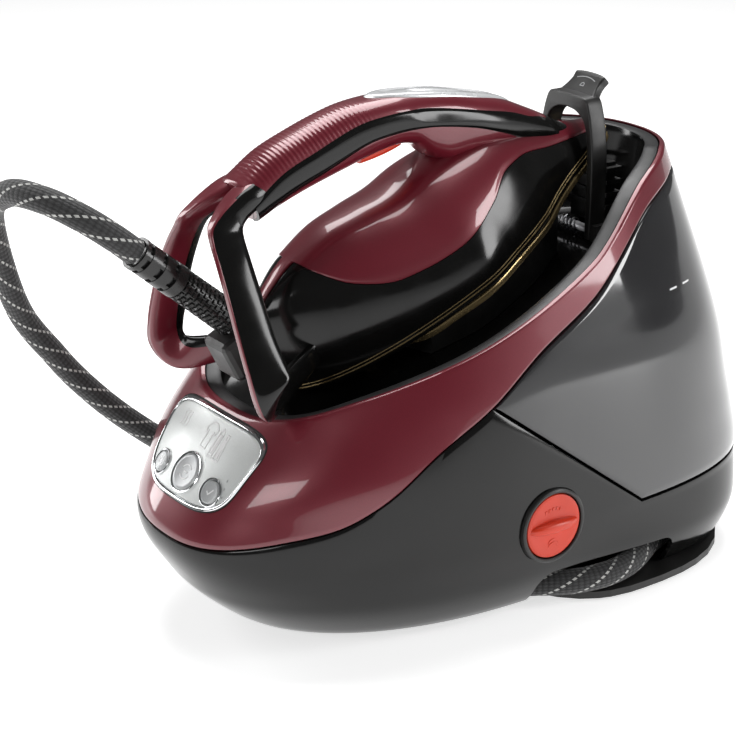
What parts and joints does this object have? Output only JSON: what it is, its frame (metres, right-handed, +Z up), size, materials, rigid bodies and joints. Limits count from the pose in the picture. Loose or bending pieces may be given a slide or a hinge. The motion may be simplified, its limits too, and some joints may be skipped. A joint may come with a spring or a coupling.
{
  "type": "steam generator iron",
  "caption": "Steam generator with rear water tank and sloping deck, and a steam iron parked on it, joined by a braided hose stored in a channel round the base.",
  "frame": {"origin": "under the middle of the object without its hose, on the surface it stands on", "axes": "+Z up, the control panel faces -Y, the water tank is at +Y and the scale collector at +X"},
  "size_m": [0.4409, 0.5134, 0.341],
  "materials": {
    "burgundy": "high gloss, pearl burgundy",
    "gloss_black": "high gloss black",
    "satin_black": "satin black",
    "smoked_tank": "smoked, glossy",
    "rubber_black": "matt black",
    "silicone": "matt grey silicone",
    "panel_silver": "pearl silver",
    "button_grey": "satin silver",
    "chrome": "polished",
    "orange_red": "satin orange red",
    "gold_ceramic": "gold ceramic coat",
    "cast_alloy": "cast",
    "steel": "plain",
    "brass": "machined",
    "board": "green resin board",
    "hose_fabric": "braided, black with light flecks"
  },
  "bodies": {
    "generator": {"base_tray": "satin_black", "foot_front_left": "rubber_black", "foot_front_right": "rubber_black", "foot_rear_left": "rubber_black", "foot_rear_right": "rubber_black", "inner_chassis": "satin_black", "lower_housing": "gloss_black", "tank_shelf": "satin_black", "front_shell": "burgundy", "control_panel": "panel_silver", "panel_bezel": "chrome", "control_board": "board", "deck": "gloss_black", "iron_rest": "satin_black", "rest_pad_front": "silicone", "rest_pad_left": "silicone", "rest_pad_right": "silicone", "lever_catch": "satin_black", "lever_bracket_left": "satin_black", "lever_bracket_right": "satin_black", "lever_pin": "steel", "lever_spring": "steel", "collector_ring": "satin_black", "boiler": "steel", "boiler_heater": "cast_alloy", "pump": "satin_black", "steam_valve": "brass", "feed_tube": "silicone", "steam_tube": "silicone", "mains_inlet": "rubber_black", "hose_outlet": "rubber_black", "steam_hose": "hose_fabric"},
    "tank": {"water_tank": "smoked_tank", "tank_lid": "satin_black", "tank_grip": "gloss_black", "tank_valve": "satin_black"},
    "filler_flap": {"filler_flap": "satin_black"},
    "iron": {"soleplate": "gold_ceramic", "steam_chamber": "cast_alloy", "skirt": "satin_black", "bonnet": "burgundy", "handle": "burgundy", "handle_band_left": "gloss_black", "handle_band_right": "gloss_black", "grip_insert": "chrome", "heel_leg_left": "burgundy", "heel_leg_right": "burgundy", "swivel_block": "satin_black", "hose_sleeve": "rubber_black", "trigger_pin": "steel"},
    "trigger": {"trigger": "orange_red"},
    "collector": {"collector_rod": "brass", "collector_seal": "rubber_black"},
    "collector_knob": {"collector_cap": "orange_red"},
    "lock_lever": {"lock_lever": "satin_black"},
    "power_button": {"power_button": "button_grey"},
    "mode_button": {"mode_button": "button_grey"},
    "ok_button": {"ok_button": "button_grey"}
  },
  "joints": [
    {"name": "iron_lift", "type": "slide", "parent": "generator", "child": "iron", "axis": [0, -0.9848, 0.1736], "range_m": [0, 0.12], "deforming": ["steam_hose"]},
    {"name": "trigger_press", "type": "hinge", "parent": "iron", "child": "trigger", "pos_m": [0, -0.04192, 0.30738], "axis": [-1, 0, 0], "range_deg": [0, 6], "stiffness_Nm_per_rad": 0.6},
    {"name": "lever_tilt", "type": "hinge", "parent": "generator", "child": "lock_lever", "pos_m": [0, 0.1115, 0.226], "axis": [-1, 0, 0], "range_deg": [0, 10], "stiffness_Nm_per_rad": 0.8, "springref_deg": -8.59},
    {"name": "tank_pull", "type": "slide", "parent": "generator", "child": "tank", "axis": [0, 1, 0], "range_m": [0, 0.12]},
    {"name": "filler_flap_open", "type": "hinge", "parent": "tank", "child": "filler_flap", "pos_m": [0, 0.122, 0.2141], "axis": [1, 0, 0], "range_deg": [0, 70], "stiffness_Nm_per_rad": 0.01, "springref_deg": -22.92},
    {"name": "collector_pull", "type": "slide", "parent": "generator", "child": "collector", "axis": [1, 0, 0], "range_m": [0, 0.1]},
    {"name": "collector_turn", "type": "hinge", "parent": "collector", "child": "collector_knob", "pos_m": [0.12, -0.0045, 0.074], "axis": [1, 0, 0], "range_deg": [-90, 0]},
    {"name": "power_press", "type": "slide", "parent": "generator", "child": "power_button", "axis": [0.1286, 0.8336, -0.5373], "range_m": [0, 0.0012], "stiffness_N_per_m": 300},
    {"name": "mode_press", "type": "slide", "parent": "generator", "child": "mode_button", "axis": [0, 0.8127, -0.5827], "range_m": [0, 0.0012], "stiffness_N_per_m": 300},
    {"name": "ok_press", "type": "slide", "parent": "generator", "child": "ok_button", "axis": [-0.1286, 0.8336, -0.5373], "range_m": [0, 0.0012], "stiffness_N_per_m": 300}
  ]
}
